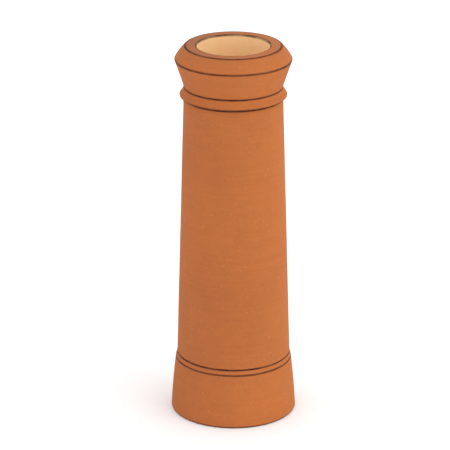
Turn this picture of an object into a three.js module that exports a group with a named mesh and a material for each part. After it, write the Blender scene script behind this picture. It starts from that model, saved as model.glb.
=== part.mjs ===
// A tall cannon-head chimney pot of plain terracotta, fired in one piece.
// From the roof up it has a flared foot band with a sloped top edge, a shaft that narrows upwards,
// a round-nosed bead, and a head that flares out to a crest and closes in over a swelling shoulder
// to a flat rim round the mouth. The flue runs straight through and opens at both ends.
//
// Millimetres, +Z up. The origin is the middle of the foot's underside, which beds on the stack.

import * as THREE from "three";

// Overall
const potHeight = 900; // underside of the foot to the rim

// Foot band
const footRadius = 148.5; // at the underside
const footBandHeight = 130.5; // underside to the outer edge of the sloped ledge
const footBelly = 1.3; // swell of the band's side past a straight line
const ledgeHeight = 12.5; // rise of the sloped ledge from the band to the shaft
const ledgeProjection = 3.5; // how far the band stands out from the shaft

// Shaft
const shaftLowRadius = 133.5; // where it leaves the ledge
const shaftTopRadius = 115.5; // where it meets the bead

// Bead, a roll with its nose low down and a sloped top that sheds the rain
const beadHeight = 26;
const beadProjection = 12; // beyond the shaft, before the nose is rounded
const beadNoseHeight = 5.5; // foot of the bead to its nose
const beadHollow = 1.2; // hollow of its top, from a straight line

// Head
const headHeight = 99; // top of the bead to the rim
const neckSetback = 0.7; // the head starts this much inside the shaft's top
const flareHollow = 0.4; // hollow of the flare, from a straight line
const shoulderHeight = 32; // crest to rim
const shoulderSpread = 24.5; // how far the crest stands out from the rim
const shoulderSwell = 1.8; // swell of the shoulder past a straight line
const rimWidth = 27.5; // flat ring round the mouth
const mouthRadius = 84.5;

// Walls, measured level
const shaftWall = 25;
const footWall = 31;

// Edges rubbed round in the damp clay
const rimRound = 3;
const crestRound = 4;
const ledgeRound = 2;
const noseRound = 4.5; // bead
const footRound = 5;
const boreRound = 4; // both ends of the flue

// Fineness of the turned surface
const turns = 96; // facets round the pot
const roundSteps = 2; // facets round an edge
const noseSteps = 5; // facets round the bead's nose
const beadTopSteps = 3; // facets along its top
const mouldingSteps = 5; // facets along the flare, the shoulder and the foot band

// Heights of the joints between mouldings
const ledgeFoot = footBandHeight;
const ledgeTop = ledgeFoot + ledgeHeight;
const beadTop = potHeight - headHeight;
const beadFoot = beadTop - beadHeight;
const crest = potHeight - shoulderHeight;

// Radii that follow from their neighbours
const ledgeRadius = shaftLowRadius + ledgeProjection;
const noseRadius = shaftTopRadius + beadProjection;
const neckRadius = shaftTopRadius - neckSetback;
const rimRadius = mouthRadius + rimWidth;
const crestRadius = rimRadius + shoulderSpread;

const point = (radius, height) => new THREE.Vector2(radius, height);

// Points after `from` up to `to`, along a circular arc that stands `rise` proud of the straight line
// on its right-hand side; a negative rise makes a hollow, and none leaves the line straight.
function bow(from, to, rise, steps) {
  if (rise === 0) return [to.clone()];
  const along = to.clone().sub(from);
  const half = along.length() / 2;
  const right = point(along.y, -along.x).normalize();
  const radius = (half * half + rise * rise) / (2 * rise);
  const centre = from.clone().add(to).multiplyScalar(0.5).addScaledVector(right, rise - radius);
  const start = from.clone().sub(centre);
  const sweep = 4 * Math.atan(rise / half);
  const points = [];
  for (let i = 1; i < steps; i++) {
    points.push(start.clone().rotateAround(point(0, 0), (sweep * i) / steps).add(centre));
  }
  points.push(to.clone());
  return points;
}

// A corner eased to a round of the given radius, as the points of its arc.
function eased(before, corner, after, radius, steps) {
  const back = before.clone().sub(corner).normalize();
  const on = after.clone().sub(corner).normalize();
  const halfAngle = Math.acos(back.dot(on)) / 2;
  const start = corner.clone().addScaledVector(back, radius / Math.tan(halfAngle));
  const end = corner.clone().addScaledVector(on, radius / Math.tan(halfAngle));
  const rise = radius * (1 - Math.sin(halfAngle)); // height of an arc over the chord from start to end
  const turnsLeft = back.cross(on) < 0;
  return [start, ...bow(start, end, turnsLeft ? rise : -rise, steps)];
}

// Half of the pot's section: a closed line that climbs the outside and comes down the flue.
// Each stop is a point, and a round with its facets where the edge there is eased.
function section() {
  const stops = [];
  const stop = (where, round = 0, steps = roundSteps) => stops.push({ where, round, steps });
  const curve = (to, rise, steps, round = 0) => {
    const from = stops.at(-1).where;
    const points = bow(from, to, rise, steps);
    points.slice(0, -1).forEach((where) => stop(where));
    stop(to, round);
  };

  stop(point(footRadius, 0), footRound);
  curve(point(ledgeRadius, ledgeFoot), footBelly, mouldingSteps, ledgeRound);
  stop(point(shaftLowRadius, ledgeTop));
  stop(point(shaftTopRadius, beadFoot));
  stop(point(noseRadius, beadFoot + beadNoseHeight), noseRound, noseSteps);
  curve(point(neckRadius, beadTop), -beadHollow, beadTopSteps);
  curve(point(crestRadius, crest), -flareHollow, mouldingSteps, crestRound);
  curve(point(rimRadius, potHeight), shoulderSwell, mouldingSteps, rimRound);
  stop(point(mouthRadius, potHeight), boreRound);
  stop(point(shaftTopRadius - shaftWall, beadFoot));
  stop(point(shaftLowRadius - shaftWall, ledgeTop));
  stop(point(footRadius - footWall, 0), boreRound);

  const outline = stops.flatMap(({ where, round, steps }, i) => {
    if (round === 0) return [where];
    const before = stops.at(i - 1).where;
    const after = stops[(i + 1) % stops.length].where;
    return eased(before, where, after, round, steps);
  });
  outline.push(outline[0].clone());
  return outline;
}

const terracotta = new THREE.MeshStandardMaterial({
  color: 0xc27242,
  roughness: 0.9,
  metalness: 0,
});

// The lathe turns the section about its own upright axis, +Y, so the pot is then stood up along +Z.
const pot = new THREE.Mesh(new THREE.LatheGeometry(section(), turns), terracotta);
pot.name = "chimney_pot";
pot.rotation.x = Math.PI / 2;

const chimneyPot = new THREE.Group();
chimneyPot.add(pot);

export default chimneyPot;
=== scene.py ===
import math

import bmesh
import bpy
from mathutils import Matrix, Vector, noise


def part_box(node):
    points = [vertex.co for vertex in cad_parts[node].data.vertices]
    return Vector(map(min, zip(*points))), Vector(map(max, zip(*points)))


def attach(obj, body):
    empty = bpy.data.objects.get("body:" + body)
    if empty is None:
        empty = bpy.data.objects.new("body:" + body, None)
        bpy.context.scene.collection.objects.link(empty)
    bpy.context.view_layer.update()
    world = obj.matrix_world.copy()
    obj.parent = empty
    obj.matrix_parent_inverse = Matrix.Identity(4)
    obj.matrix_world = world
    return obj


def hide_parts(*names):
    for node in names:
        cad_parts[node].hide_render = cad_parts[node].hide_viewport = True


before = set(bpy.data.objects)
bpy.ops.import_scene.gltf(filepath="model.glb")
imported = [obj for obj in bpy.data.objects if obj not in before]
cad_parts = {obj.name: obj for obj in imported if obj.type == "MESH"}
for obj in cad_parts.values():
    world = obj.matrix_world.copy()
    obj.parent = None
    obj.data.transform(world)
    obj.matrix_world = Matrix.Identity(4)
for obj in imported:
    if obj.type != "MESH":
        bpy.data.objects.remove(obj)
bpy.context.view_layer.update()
mm = 0.001

# Fired pot
# A tall chimney pot of red clay, pushed out as a pipe and turned against a template while leather-hard.
# The template gives it the foot band, the bead and the head. It is sponged along its edges and fired once.
# Its height and the width of its foot come from the fixed frame, and what lies between is sized here.
pot_low, pot_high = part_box("chimney_pot")
pot_height = pot_high.z
foot_radius = (pot_high.x - pot_low.x) / 2

foot_band_height = 130.5 * mm
foot_belly = 1.3 * mm
ledge_height = 12.5 * mm
ledge_radius = 137 * mm
shaft_low_radius = 133.5 * mm
shaft_top_radius = 115.5 * mm
bead_height = 26 * mm
nose_radius = 127.5 * mm  # the bead's nose, before it is rounded
nose_height = 5.5 * mm
bead_hollow = 1.2 * mm
neck_radius = 114.8 * mm
head_height = 99 * mm
flare_hollow = 0.4 * mm
crest_radius = 136.5 * mm
shoulder_height = 32 * mm
shoulder_swell = 1.8 * mm
rim_radius = 112 * mm
mouth_radius = 84.5 * mm
shaft_wall = 25 * mm
foot_wall = 31 * mm

foot_round = 5 * mm
ledge_round = 2.2 * mm
nose_round = 4.5 * mm
crest_round = 4 * mm
rim_round = 3 * mm
bore_round = 3 * mm  # both ends of the flue
quirk_width = 2.6 * mm  # the fine groove that the template's point cuts in each crease
quirk_depth = 1.5 * mm
lip_round = 0.5 * mm
shade_under_nose_place = 0.2  # where the painted shade under the bead lies, on the way from the bead's nose to the crease below it

round_segments = 6
lip_segments = 2
bead_segments = 4
moulding_segments = 8
ring_spacing = 5 * mm  # the longest that a facet may be, along the section
turns = 192  # facets round the pot
weld_distance = 0.01 * mm

ledge_foot = foot_band_height
ledge_top = ledge_foot + ledge_height
bead_top = pot_height - head_height
bead_foot = bead_top - bead_height
crest = pot_height - shoulder_height
ledge_slope = (ledge_radius - shaft_low_radius) / ledge_height


def straight(section, start, radius, height):
    """Carries the section on from a vertex to a point, in a straight line."""
    end = bmesh.ops.extrude_vert_indiv(section, verts=[start])["verts"][0]
    end.co = (radius, 0, height)
    return end


def arc(section, start, radius, height, rise, segments):
    """Carries the section on along a circular arc that stands `rise` proud of the straight line."""
    end = Vector((radius, 0, height))
    chord = end - start.co
    half = chord.length / 2
    outward = Vector((chord.z, 0, -chord.x)).normalized()
    arc_radius = (half**2 + rise**2) / (2 * rise)
    centre = (start.co + end) / 2 + outward * (rise - arc_radius)
    sweep = 4 * math.atan(rise / half)
    spun = bmesh.ops.spin(
        section, geom=[start], cent=centre, axis=(0, -1, 0),
        angle=sweep, steps=segments, use_merge=False,
    )
    return spun["geom_last"][0]


def quirk(section, start, radius, height):
    """Cuts a fine groove between a vertex and a point, and returns its bottom and its upper lip."""
    bottom_radius = (start.co.x + radius) / 2 - quirk_depth
    bottom = straight(section, start, bottom_radius, (start.co.z + height) / 2)
    return bottom, straight(section, bottom, radius, height)


def ease(section, corner, radius, segments):
    """Rounds a corner of the section to about that radius, and returns the middle of the round."""
    sharp = corner.co.copy()
    before, after = [edge.other_vert(corner).co - sharp for edge in corner.link_edges]
    reach = radius / math.tan(before.angle(after) / 2)
    rounded = bmesh.ops.bevel(
        section, geom=[corner], offset=reach, offset_type="OFFSET", segments=segments,
        profile=0.5, affect="VERTICES", material=-1,
    )
    points = [vertex.co.copy() for vertex in rounded["verts"]]
    return min(points, key=lambda point: (point - sharp).length)


# Half of the pot's section, up the outside and down the flue.
section = bmesh.new()
foot_edge = section.verts.new((foot_radius, 0, 0))
ledge_edge = arc(section, foot_edge, ledge_radius, ledge_foot, foot_belly, moulding_segments)
ledge_lip_radius = shaft_low_radius + ledge_slope * quirk_width / 2
ledge_lip = straight(section, ledge_edge, ledge_lip_radius, ledge_top - quirk_width / 2)
ledge_quirk, shaft_lip = quirk(section, ledge_lip, shaft_low_radius, ledge_top + quirk_width / 2)
shaft_head = straight(section, shaft_lip, shaft_top_radius, bead_foot)
bead_quirk, bead_lip = quirk(section, shaft_head, shaft_top_radius, bead_foot + quirk_width)
bead_nose = straight(section, bead_lip, nose_radius, bead_foot + nose_height)
bead_back = arc(section, bead_nose, neck_radius, bead_top, -bead_hollow, bead_segments)
neck_quirk, neck_lip = quirk(section, bead_back, neck_radius, bead_top + quirk_width)
crest_edge = arc(section, neck_lip, crest_radius, crest, -flare_hollow, moulding_segments)
rim_edge = arc(section, crest_edge, rim_radius, pot_height, shoulder_swell, moulding_segments)
mouth_edge = straight(section, rim_edge, mouth_radius, pot_height)
bore_neck = straight(section, mouth_edge, shaft_top_radius - shaft_wall, bead_foot)
bore_foot = straight(section, bore_neck, shaft_low_radius - shaft_wall, ledge_top)
inner_foot_edge = straight(section, bore_foot, foot_radius - foot_wall, 0)
section.edges.new((inner_foot_edge, foot_edge))

foot_arris = ease(section, foot_edge, foot_round, round_segments)
ledge_arris = ease(section, ledge_edge, ledge_round, round_segments)
nose_arris = ease(section, bead_nose, nose_round, round_segments)
crest_arris = ease(section, crest_edge, crest_round, round_segments)
rim_arris = ease(section, rim_edge, rim_round, round_segments)
mouth_arris = ease(section, mouth_edge, bore_round, round_segments)
ease(section, inner_foot_edge, bore_round, round_segments)
ledge_seam = ease(section, ledge_quirk, lip_round, lip_segments)
bead_seam = ease(section, bead_quirk, lip_round, lip_segments)
neck_seam = ease(section, neck_quirk, lip_round, lip_segments)
# the painted shade under the bead's nose
shade_under_nose = nose_arris.lerp(bead_seam, shade_under_nose_place)
for lip in (ledge_lip, shaft_lip, shaft_head, bead_lip, bead_back, neck_lip):
    ease(section, lip, lip_round, lip_segments)

for edge in list(section.edges):
    cuts = math.ceil(edge.calc_length() / ring_spacing) - 1
    if cuts > 0:
        bmesh.ops.subdivide_edges(section, edges=[edge], cuts=cuts)

bmesh.ops.spin(
    section, geom=section.verts[:] + section.edges[:], cent=(0, 0, 0), axis=(0, 0, 1),
    angle=2 * math.pi, steps=turns, use_merge=True,
)
bmesh.ops.remove_doubles(section, verts=section.verts[:], dist=weld_distance)
bmesh.ops.recalc_face_normals(section, faces=section.faces[:])

# The turner's hand: the clay dries a little oval, the template wanders as it is drawn down, and grit drags
# faint rings round the wall. Together they move it by up to about 0.6 mm, and the two ends stay flat.
oval = 0.35 * mm
oval_turn = 0.8  # radians, so that the oval lies askew to the front
wander = 0.3 * mm
wander_length = 110 * mm
ring_depth = 0.12 * mm
ring_pitch = 14 * mm
ring_change = 0.6  # how much a ring changes on its way round
for vertex in section.verts:
    x, y, z = vertex.co
    angle = math.atan2(y, x)
    wander_at = Vector((x / wander_length, y / wander_length, z / wander_length))
    ring_at = Vector((ring_change * math.cos(angle), ring_change * math.sin(angle), z / ring_pitch))
    shift = oval * math.cos(2 * angle + oval_turn)
    shift += wander * noise.noise(wander_at)
    shift += ring_depth * noise.noise(ring_at)
    vertex.co += Vector((x, y, 0)).normalized() * shift

pot_mesh = bpy.data.meshes.new("chimney_pot")
section.to_mesh(pot_mesh)
section.free()
pot_mesh.shade_smooth()
pot = bpy.data.objects.new("fired_pot", pot_mesh)
bpy.context.scene.collection.objects.link(pot)

# Terracotta
# Coarse red clay with grog, sponged, and fired unglazed at about 1050 degrees, with pale slip in the flue.
# The eye sees a dry, matt, orange-brown skin with flashing, mottling, turning rings and grit. Painted light
# makes the right side more orange and the slip paler. The faces that look up are duller and darkened as
# painted shade, dark lines of painted shade lie in the creases and under the bead's nose, and darker lines
# run along the arrises.
clay_brown = 0xA65E33
clay_orange = 0xBC6D37
# a duller tone for the faces that look up, darkened as painted shade
top_tone_and_painted_shade = 0x905C3F
# the dark lines: painted shade in the creases and under the bead's nose, and darker lines on the arrises
dark_line_colour = 0x3A150B
grog_pale = 0xD9A474
grog_dark = 0x63301D
# slip made paler than it is, as painted light against the shade in the flue
pale_slip_and_painted_light = 0xFEDBA8
stained_slip_and_painted_light = 0xFACF9B

flashing_size = 240 * mm
painted_light_to_the_right = 0.22  # painted light: the right side is made more orange and lighter
mottle_size = 26 * mm
mottle_shading = 0.1
streak_width = 3.4 * mm  # a streak left by the sponge on the turning pot
streak_run = 260 * mm  # how far round it keeps its shade
streak_shading = 0.06
grit_size = 2.4 * mm  # real grit is under a millimetre, and is drawn as coarse as it needs to show
grit_shading = 0.18
grog_spacing = 11 * mm
grog_radius = 2.0 * mm  # the largest grains, also drawn about twice as coarse as they are
smallest_grain = 0.3  # beside the largest
dark_grains = 0.4  # share of the grog
grain_strength = 0.6
thickest_top_tone_and_shade = 0.75
thinnest_top_tone_and_shade = 0.3
line_core = 0.7 * mm  # half width of the darkest part of each line
faintest_line = 0.75  # what is left of a line where it is faintest
line_wander = 1.2 * mm
line_wander_length = 45 * mm
relief_depth = 0.3 * mm
streak_relief = 0.8  # beside the relief of the grit
smooth_patches = 0.82  # roughness
rough_patches = 0.96


def linear(colour):
    """An sRGB hex value as a linear colour with alpha 1."""
    parts = [(colour >> shift & 255) / 255 for shift in (16, 8, 0)]
    return [c / 12.92 if c <= 0.04045 else ((c + 0.055) / 1.055) ** 2.4 for c in parts] + [1]


def add(owner, kind, settings, links):
    """A new node of a material or of the room, with its settings, and its inputs set or linked."""
    node = owner.node_tree.nodes.new(kind)
    for name, value in settings.items():
        setattr(node, name, value)
    for name, value in links.items():
        if isinstance(value, bpy.types.NodeSocket):
            owner.node_tree.links.new(value, node.inputs[name])
        else:
            node.inputs[name].default_value = value
    return node


clay = bpy.data.materials.new("unglazed terracotta")
clay.use_nodes = True
clay.node_tree.nodes.clear()
place = add(clay, "ShaderNodeTexCoord", {}, {}).outputs["Object"]
normal = add(clay, "ShaderNodeNewGeometry", {}, {}).outputs["Normal"]
height = add(clay, "ShaderNodeSeparateXYZ", {}, {"Vector": place}).outputs["Z"]
upward = add(clay, "ShaderNodeSeparateXYZ", {}, {"Vector": normal}).outputs["Z"]

# Where a point lies in the pot's section, and whether its face looks away from the axis or towards it.
level = add(clay, "ShaderNodeVectorMath", {"operation": "MULTIPLY"}, {
    0: place, 1: (1, 1, 0),
}).outputs["Vector"]
radius = add(clay, "ShaderNodeVectorMath", {"operation": "LENGTH"}, {0: level}).outputs["Value"]
outward = add(clay, "ShaderNodeVectorMath", {"operation": "NORMALIZE"}, {0: level}).outputs["Vector"]
facing = add(clay, "ShaderNodeVectorMath", {"operation": "DOT_PRODUCT"}, {
    0: normal, 1: outward,
}).outputs["Value"]
in_section = add(clay, "ShaderNodeCombineXYZ", {}, {"X": radius, "Y": height}).outputs["Vector"]

# Broad flashing from brown to orange, and painted light that makes the right side more orange and lighter.
flame = add(clay, "ShaderNodeTexNoise", {}, {
    "Vector": place, "Scale": 1 / flashing_size, "Detail": 1.0,
}).outputs["Fac"]
side = add(clay, "ShaderNodeSeparateXYZ", {}, {"Vector": outward}).outputs["X"]
flashing_and_painted_light = add(clay, "ShaderNodeMath", {"operation": "MULTIPLY_ADD"}, {
    0: side, 1: painted_light_to_the_right, 2: flame,
}).outputs["Value"]
clay_with_flashing_and_painted_light = add(clay, "ShaderNodeMix", {"data_type": "RGBA"}, {
    0: flashing_and_painted_light, 6: linear(clay_brown), 7: linear(clay_orange),
}).outputs[2]

# Mottling, turning rings and grit make the clay lighter or darker.
# The radius is added to the height, so that the rings also run round the flat rim.
mottle = add(clay, "ShaderNodeTexNoise", {}, {
    "Vector": place, "Scale": 1 / mottle_size, "Detail": 5.0, "Roughness": 0.6,
}).outputs["Fac"]
spread = add(clay, "ShaderNodeCombineXYZ", {}, {"Z": radius}).outputs["Vector"]
wound = add(clay, "ShaderNodeVectorMath", {"operation": "ADD"}, {0: place, 1: spread}).outputs["Vector"]
drawn_out = add(clay, "ShaderNodeMapping", {}, {
    "Vector": wound, "Scale": (1 / streak_run, 1 / streak_run, 1 / streak_width),
}).outputs["Vector"]
streaks = add(clay, "ShaderNodeTexNoise", {}, {
    "Vector": drawn_out, "Scale": 1.0, "Detail": 2.0,
}).outputs["Fac"]
grit = add(clay, "ShaderNodeTexNoise", {}, {
    "Vector": place, "Scale": 1 / grit_size, "Detail": 3.0, "Roughness": 0.6,
}).outputs["Fac"]
mottle_shade = add(clay, "ShaderNodeMapRange", {}, {
    "Value": mottle, "To Min": 1 - mottle_shading, "To Max": 1 + mottle_shading,
}).outputs["Result"]
streak_shade = add(clay, "ShaderNodeMapRange", {}, {
    "Value": streaks, "To Min": 1 - streak_shading, "To Max": 1 + streak_shading,
}).outputs["Result"]
grit_shade = add(clay, "ShaderNodeMapRange", {}, {
    "Value": grit, "To Min": 1 - grit_shading, "To Max": 1 + grit_shading,
}).outputs["Result"]
broad_shade = add(clay, "ShaderNodeMath", {"operation": "MULTIPLY"}, {
    0: mottle_shade, 1: streak_shade,
}).outputs["Value"]
shade = add(clay, "ShaderNodeMath", {"operation": "MULTIPLY"}, {
    0: broad_shade, 1: grit_shade,
}).outputs["Value"]
mottled_clay = add(clay, "ShaderNodeHueSaturation", {}, {
    "Value": shade, "Color": clay_with_flashing_and_painted_light,
}).outputs["Color"]

# Grains of grog, ragged, each one pale or dark and large or small by chance.
crumble = add(clay, "ShaderNodeTexNoise", {}, {
    "Vector": place, "Scale": 1 / grog_radius,
}).outputs["Color"]
ragged = add(clay, "ShaderNodeVectorMath", {"operation": "MULTIPLY_ADD"}, {
    0: crumble, 1: (grog_radius, grog_radius, grog_radius), 2: place,
}).outputs["Vector"]
grains = add(clay, "ShaderNodeTexVoronoi", {}, {"Vector": ragged, "Scale": 1 / grog_spacing})
chance = add(clay, "ShaderNodeSeparateColor", {}, {"Color": grains.outputs["Color"]})
grain_is_pale = add(clay, "ShaderNodeMath", {"operation": "GREATER_THAN"}, {
    0: chance.outputs["Red"], 1: dark_grains,
}).outputs["Value"]
grain_colour = add(clay, "ShaderNodeMix", {"data_type": "RGBA"}, {
    0: grain_is_pale, 6: linear(grog_dark), 7: linear(grog_pale),
}).outputs[2]
grain_reach = add(clay, "ShaderNodeMapRange", {}, {
    "Value": chance.outputs["Green"],
    "To Min": smallest_grain * grog_radius / grog_spacing, "To Max": grog_radius / grog_spacing,
}).outputs["Result"]
grain_cover = add(clay, "ShaderNodeMapRange", {}, {
    "Value": grains.outputs["Distance"],
    "From Min": 0.0, "From Max": grain_reach, "To Min": grain_strength, "To Max": 0.0,
}).outputs["Result"]
grogged_clay = add(clay, "ShaderNodeMix", {"data_type": "RGBA"}, {
    0: grain_cover, 6: mottled_clay, 7: grain_colour,
}).outputs[2]

# A duller, greyer tone on the faces that look up, darkened as painted shade so that they look no brighter
# than the walls. It is thinner where the flashing and the painted light run orange.
top_tone_and_shade_depth = add(clay, "ShaderNodeMapRange", {}, {
    "Value": flashing_and_painted_light, "From Min": 0.3, "From Max": 0.7, "To Min": thickest_top_tone_and_shade, "To Max": thinnest_top_tone_and_shade,
}).outputs["Result"]
top_tone_and_shade_cover = add(clay, "ShaderNodeMapRange", {"interpolation_type": "SMOOTHSTEP"}, {
    "Value": upward, "From Min": 0.6, "From Max": 0.98, "To Min": 0.0, "To Max": top_tone_and_shade_depth,
}).outputs["Result"]
clay_with_top_tone_and_shade = add(clay, "ShaderNodeMix", {"data_type": "RGBA"}, {
    0: top_tone_and_shade_cover, 6: grogged_clay, 7: linear(top_tone_and_painted_shade),
}).outputs[2]

# Slip brushed inside the flue, a little stained, and made paler than slip is, as painted light against the
# shade inside the flue.
slip_and_painted_light = add(clay, "ShaderNodeMix", {"data_type": "RGBA"}, {
    0: mottle, 6: linear(pale_slip_and_painted_light), 7: linear(stained_slip_and_painted_light),
}).outputs[2]
slip_and_painted_light_cover = add(clay, "ShaderNodeMapRange", {}, {
    "Value": facing, "From Min": -0.25, "From Max": -0.6,
}).outputs["Result"]
clay_with_slip_and_painted_light = add(clay, "ShaderNodeMix", {"data_type": "RGBA"}, {
    0: slip_and_painted_light_cover, 6: clay_with_top_tone_and_shade, 7: slip_and_painted_light,
}).outputs[2]

# Soft dark lines that wander a little: painted shade in the creases and under the bead's nose, and darker
# lines along the arrises.
# Each has its place in the section, its half width, and how dark it is.
wandering = add(clay, "ShaderNodeTexNoise", {}, {
    "Vector": place, "Scale": 1 / line_wander_length,
}).outputs["Color"]
centred = add(clay, "ShaderNodeVectorMath", {"operation": "SUBTRACT"}, {
    0: wandering, 1: (0.5, 0.5, 0.5),
}).outputs["Vector"]
wandered = add(clay, "ShaderNodeVectorMath", {"operation": "MULTIPLY_ADD"}, {
    0: centred, 1: (line_wander, line_wander, 0), 2: in_section,
}).outputs["Vector"]
dark_lines = 0.0
for line_place, half_width, darkness in (
    (foot_arris, 5.0 * mm, 0.85),
    (ledge_arris, 3.8 * mm, 0.9),
    (ledge_seam, 4.2 * mm, 1.0),
    (bead_seam, 4.4 * mm, 1.0),
    (shade_under_nose, 4.8 * mm, 1.0),
    (neck_seam, 4.4 * mm, 1.0),
    (crest_arris, 4.4 * mm, 0.9),
    (rim_arris, 4.8 * mm, 0.9),
    (mouth_arris, 5.4 * mm, 0.95),
):
    away = add(clay, "ShaderNodeVectorMath", {"operation": "DISTANCE"}, {
        0: wandered, 1: (line_place.x, line_place.z, 0),
    }).outputs["Value"]
    line = add(clay, "ShaderNodeMapRange", {"interpolation_type": "SMOOTHSTEP"}, {
        "Value": away, "From Min": line_core, "From Max": half_width, "To Min": darkness, "To Max": 0.0,
    }).outputs["Result"]
    dark_lines = add(clay, "ShaderNodeMath", {"operation": "MAXIMUM"}, {0: dark_lines, 1: line}).outputs["Value"]
line_strength = add(clay, "ShaderNodeMapRange", {}, {
    "Value": mottle, "From Min": 0.35, "From Max": 0.6, "To Min": faintest_line, "To Max": 1.0,
}).outputs["Result"]
dark_line_cover = add(clay, "ShaderNodeMath", {"operation": "MULTIPLY"}, {0: dark_lines, 1: line_strength}).outputs["Value"]
clay_with_dark_lines = add(clay, "ShaderNodeMix", {"data_type": "RGBA"}, {
    0: dark_line_cover, 6: clay_with_slip_and_painted_light, 7: linear(dark_line_colour),
}).outputs[2]

# Grit and turning rings raise the skin by a fraction of a millimetre, and each grain of grog lies in a pit.
skin = add(clay, "ShaderNodeMath", {"operation": "MULTIPLY_ADD"}, {
    0: streaks, 1: streak_relief, 2: grit,
}).outputs["Value"]
pitted_skin = add(clay, "ShaderNodeMath", {"operation": "SUBTRACT"}, {
    0: skin, 1: grain_cover,
}).outputs["Value"]
relief = add(clay, "ShaderNodeBump", {}, {
    "Height": pitted_skin, "Distance": relief_depth, "Strength": 1.0,
}).outputs["Normal"]
dryness = add(clay, "ShaderNodeMapRange", {}, {
    "Value": mottle, "To Min": smooth_patches, "To Max": rough_patches,
}).outputs["Result"]

shader = add(clay, "ShaderNodeBsdfPrincipled", {}, {
    "Base Color": clay_with_dark_lines, "Roughness": dryness, "Normal": relief,
    "IOR": 1.5, "Specular IOR Level": 0.25,
})
add(clay, "ShaderNodeOutputMaterial", {}, {"Surface": shader.outputs["BSDF"]})
pot_mesh.materials.append(clay)

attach(pot, "root")
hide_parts("chimney_pot")

# Floor
# A plain pale sweep of matt board that the pot stands on.
# It runs on for tens of metres, well past what the camera takes in.
floor_radius = 60
board_colour = 0xFAFAFA
floor_shape = bmesh.new()
bmesh.ops.create_circle(floor_shape, cap_ends=True, radius=floor_radius, segments=96)
floor_mesh = bpy.data.meshes.new("floor")
floor_shape.to_mesh(floor_mesh)
floor_shape.free()
floor = bpy.data.objects.new("floor", floor_mesh)
bpy.context.scene.collection.objects.link(floor)
board = bpy.data.materials.new("pale board")
board.use_nodes = True
board.node_tree.nodes.clear()
board_shader = add(board, "ShaderNodeBsdfPrincipled", {}, {
    "Base Color": linear(board_colour), "Roughness": 1.0, "Specular IOR Level": 0.0,
})
add(board, "ShaderNodeOutputMaterial", {}, {"Surface": board_shader.outputs["BSDF"]})
floor_mesh.materials.append(board)

# Light
# An even white room, a little brighter on the right.
# A weak broad lamp hangs high on that side.
room_strength = 1.17
room_slope = 0.13
lamp_strength = 0.325
lamp_spread = math.radians(40)
lamp_side = math.radians(60)  # round to the right from the front
lamp_height = math.radians(52)

room = bpy.data.worlds.new("room")
room.use_nodes = True
room.node_tree.nodes.clear()
direction = add(room, "ShaderNodeTexCoord", {}, {}).outputs["Generated"]
to_the_right = add(room, "ShaderNodeSeparateXYZ", {}, {"Vector": direction}).outputs["X"]
glow = add(room, "ShaderNodeMath", {"operation": "MULTIPLY_ADD"}, {
    0: to_the_right, 1: room_slope, 2: room_strength,
}).outputs["Value"]
walls = add(room, "ShaderNodeBackground", {}, {"Color": (1, 1, 1, 1), "Strength": glow})
add(room, "ShaderNodeOutputWorld", {}, {"Surface": walls.outputs["Background"]})
bpy.context.scene.world = room

towards_lamp = Vector((
    math.sin(lamp_side) * math.cos(lamp_height),
    -math.cos(lamp_side) * math.cos(lamp_height),
    math.sin(lamp_height),
))
lamp_data = bpy.data.lights.new("broad lamp", "SUN")
lamp_data.energy = lamp_strength
lamp_data.angle = lamp_spread
lamp = bpy.data.objects.new("broad lamp", lamp_data)
bpy.context.scene.collection.objects.link(lamp)
lamp.rotation_euler = towards_lamp.to_track_quat("Z", "Y").to_euler()

bpy.context.scene.view_settings.view_transform = "Standard"

# Camera
# A long lens looks down on the pot from in front.
# The frame is slid a little to the left, so that the pot stands right of its middle.
lens_length = 236.76
frame_slide = -0.0187
camera_place = (0, -6.5338, 2.8716)
look_down = math.radians(20.272)

camera_data = bpy.data.cameras.new("camera")
camera_data.lens = lens_length
camera_data.shift_x = frame_slide
camera = bpy.data.objects.new("camera", camera_data)
camera.location = camera_place
camera.rotation_euler = (math.radians(90) - look_down, 0, 0)
bpy.context.scene.collection.objects.link(camera)
bpy.context.scene.camera = camera
